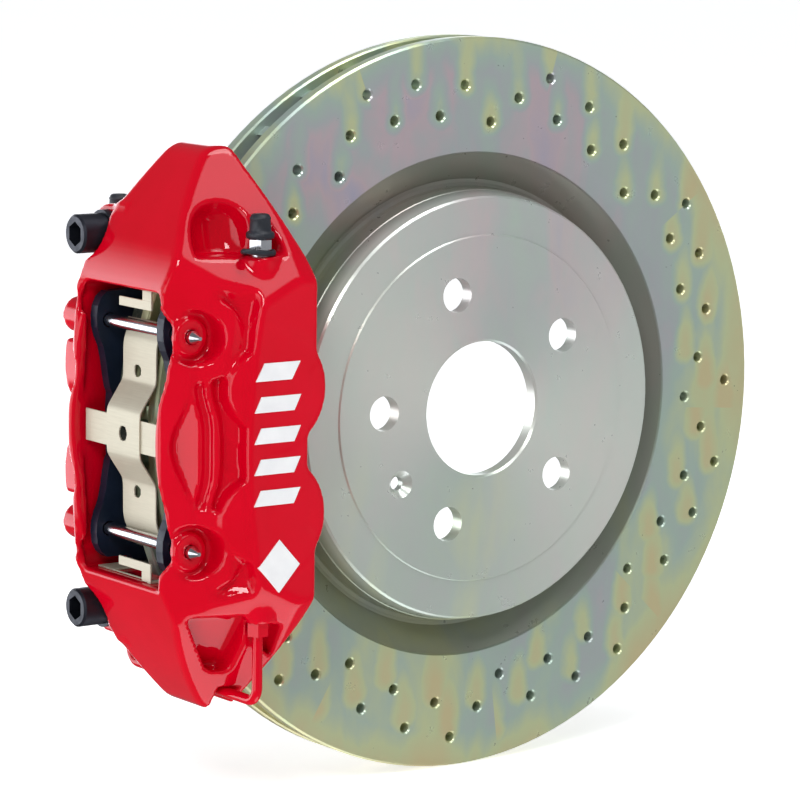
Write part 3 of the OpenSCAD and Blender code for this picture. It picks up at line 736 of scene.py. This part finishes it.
MATERIALS = {
    "red_lacquer": red_lacquer(),
    "white_paint": white_paint(),
    "zinc_plated_iron": zinc(),
    "hard_anodised": plain_metal("hard_anodised", (0.40, 0.40, 0.38), (0.60, 0.60, 0.56), (0.32, 0.45)),
    "black_rubber": rubber(),
    "black_steel": black_paint(),
    "friction_material": friction(),
    "bright_steel": plain_metal("bright_steel", (0.62, 0.62, 0.64), (0.85, 0.85, 0.87), (0.16, 0.28)),
    "stainless": plain_metal("stainless", (0.50, 0.46, 0.35), (0.60, 0.56, 0.44), (0.42, 0.55),
                             grain=(260, 12, 260), metallic=0.3),
    "black_oxide": black_oxide(),
}


# How far the machined pieces' sharp edges are rounded, by the name that a pair or group of nodes shares
EDGE_WIDTHS = {"pad_plate": 0.8, "friction": 0.5, "shim": 0.2, "mount_bolt": 0.5, "mount": 0.4,
               "tube_nut": 0.5, "pad_pin": 0.4, "pin": 0.2, "bleed_screw": 0.3,
               "piston_outboard": 0.5, "piston_inboard": 0.5}


def dress_cad_nodes():
    """Gives each CAD node the material of its slot, and rounds the edges of the machined ones."""
    slots = {s["node"]: s["material_slot"] for s in frame["record"]["subparts"]}
    for name, node in frame["nodes"].items():
        node.data.materials.clear()
        node.data.materials.append(MATERIALS[slots[name]])
        width = EDGE_WIDTHS.get(name.rsplit("_", 1)[0], 0)
        if width:
            add_bevel(node, width)


# ------------------------------------------------------- camera and light

CAMERA_LENS = 173.445
CAMERA_PLACE = (-1089.77, -1446.0, 274.52)
CAMERA_TURN = (35.894, 8.522, 0.72)  # azimuth, elevation and roll in degrees


def camera():
    data = bpy.data.cameras.new("camera")
    data.lens = CAMERA_LENS
    data.sensor_width = 36.0
    data.clip_end = 20.0
    obj = bpy.data.objects.new("camera", data)
    azimuth, elevation, roll = (math.radians(a) for a in CAMERA_TURN)
    forward = Vector((math.sin(azimuth) * math.cos(elevation), math.cos(azimuth) * math.cos(elevation),
                      -math.sin(elevation)))
    turn = forward.to_track_quat("-Z", "Y").to_matrix() @ Matrix.Rotation(roll, 3, "Z")
    obj.matrix_world = Matrix.Translation(Vector(CAMERA_PLACE) * MM) @ turn.to_4x4()
    bpy.context.scene.collection.objects.link(obj)
    bpy.context.scene.camera = obj


class Sky:
    """The studio round the object, as light from directions: soft cards on a dim ground."""

    def __init__(self, ambient):
        self.world = bpy.data.worlds.new("studio")
        self.world.use_nodes = True
        self.tree = self.world.node_tree
        self.direction = self.tree.nodes.new("ShaderNodeTexCoord").outputs["Generated"]
        self.total = ambient

    def math(self, operation, a, b=0.0):
        node = self.tree.nodes.new("ShaderNodeMath")
        node.operation = operation
        for value, socket in zip((a, b), node.inputs):
            if isinstance(value, bpy.types.NodeSocket):
                self.tree.links.new(value, socket)
            else:
                socket.default_value = value
        return node.outputs[0]

    def along(self, axis):
        node = self.tree.nodes.new("ShaderNodeVectorMath")
        node.operation = "DOT_PRODUCT"
        self.tree.links.new(self.direction, node.inputs[0])
        node.inputs[1].default_value = axis
        return node.outputs["Value"]

    def inside(self, value, limit, soft):
        node = self.tree.nodes.new("ShaderNodeMapRange")
        node.interpolation_type = "SMOOTHSTEP"
        self.tree.links.new(value, node.inputs[0])
        for socket, v in zip(node.inputs[1:5], (limit, limit - soft, 0.0, 1.0)):
            socket.default_value = v
        return node.outputs[0]

    def card(self, centre, half_angles, radiance, soft=0.15):
        """A rectangular soft card that fills the half angles, in degrees, across and up."""
        middle = Vector(centre).normalized()
        across = middle.cross(Vector((0, 0, 1))).normalized()
        up = across.cross(middle)
        ahead = self.math("MAXIMUM", self.along(middle), 0.001)
        share = radiance
        for axis, half in ((across, half_angles[0]), (up, half_angles[1])):
            reach = self.math("ABSOLUTE", self.math("DIVIDE", self.along(axis), ahead))
            share = self.math("MULTIPLY", self.inside(reach, math.tan(math.radians(half)), soft), share)
        self.total = self.math("ADD", share, self.total)

    def finish(self):
        background = self.tree.nodes["Background"]
        background.inputs["Color"].default_value = (0.92, 0.95, 1.0, 1.0)
        is_camera = self.tree.nodes.new("ShaderNodeLightPath").outputs["Is Camera Ray"]
        backdrop = self.math("MULTIPLY", is_camera, 1.2)
        lighting = self.math("MULTIPLY", self.total, self.math("SUBTRACT", 1.0, is_camera))
        self.tree.links.new(self.math("ADD", backdrop, lighting), background.inputs["Strength"])
        bpy.context.scene.world = self.world


def softbox(name, place, target, size, power):
    data = bpy.data.lights.new(name, "AREA")
    data.shape = "RECTANGLE"
    data.size, data.size_y = size
    data.energy = power
    obj = bpy.data.objects.new(name, data)
    obj.location = place
    obj.rotation_euler = (Vector(target) - Vector(place)).to_track_quat("-Z", "Y").to_euler()
    bpy.context.scene.collection.objects.link(obj)


def studio():
    """A pale floor that glows a little, the soft sky and two softboxes."""
    floor_z = cad_box[0][2] - 0.0005
    mesh = bpy.data.meshes.new("floor")
    corners = [(12 * sx, 12 * sy, floor_z) for sx, sy in ((-1, -1), (1, -1), (1, 1), (-1, 1))]
    mesh.from_pydata(corners, [], [(0, 1, 2, 3)])
    floor = bpy.data.objects.new("floor", mesh)
    bpy.context.scene.collection.objects.link(floor)
    floor.visible_glossy = False
    n = Nodes("floor")
    n.set(Base_Color=(0.93, 0.93, 0.93, 1.0), Roughness=0.9, Emission_Color=(1.0, 1.0, 1.0, 1.0),
          Emission_Strength=0.62)
    mesh.materials.append(n.material)

    sky = Sky(0.16)
    sky.card((0.0, 1.0, -0.02), (62, 24), 2.3)
    sky.card((-0.8, 0.6, -0.02), (30, 24), 1.0)
    sky.card((-1.0, -0.12, -0.02), (20, 24), 2.3)
    sky.card((0.08, -0.54, 0.84), (20, 15), 2.6)
    sky.card((0.58, -0.80, -0.05), (30, 24), 0.26, 0.5)
    sky.card((0.15, -0.25, -0.95), (24, 20), 2.0)
    sky.finish()
    softbox("key", (-1.9, -1.6, 1.8), (-0.1, 0, 0), (0.7, 0.7), 26)
    softbox("top", (0.3, -0.6, 2.6), (0, 0, 0), (1.0, 1.0), 22)
    bpy.context.scene.view_settings.view_transform = "Standard"


camera()
studio()
dress_cad_nodes()
caliper_casting()
pad_spring()
bleeder("outboard", BLEED_X, BLEED_Y, 205)
bleeder("inboard", REAR_BLEED_X, REAR_Y, 180)
abutments()
face_stripes()
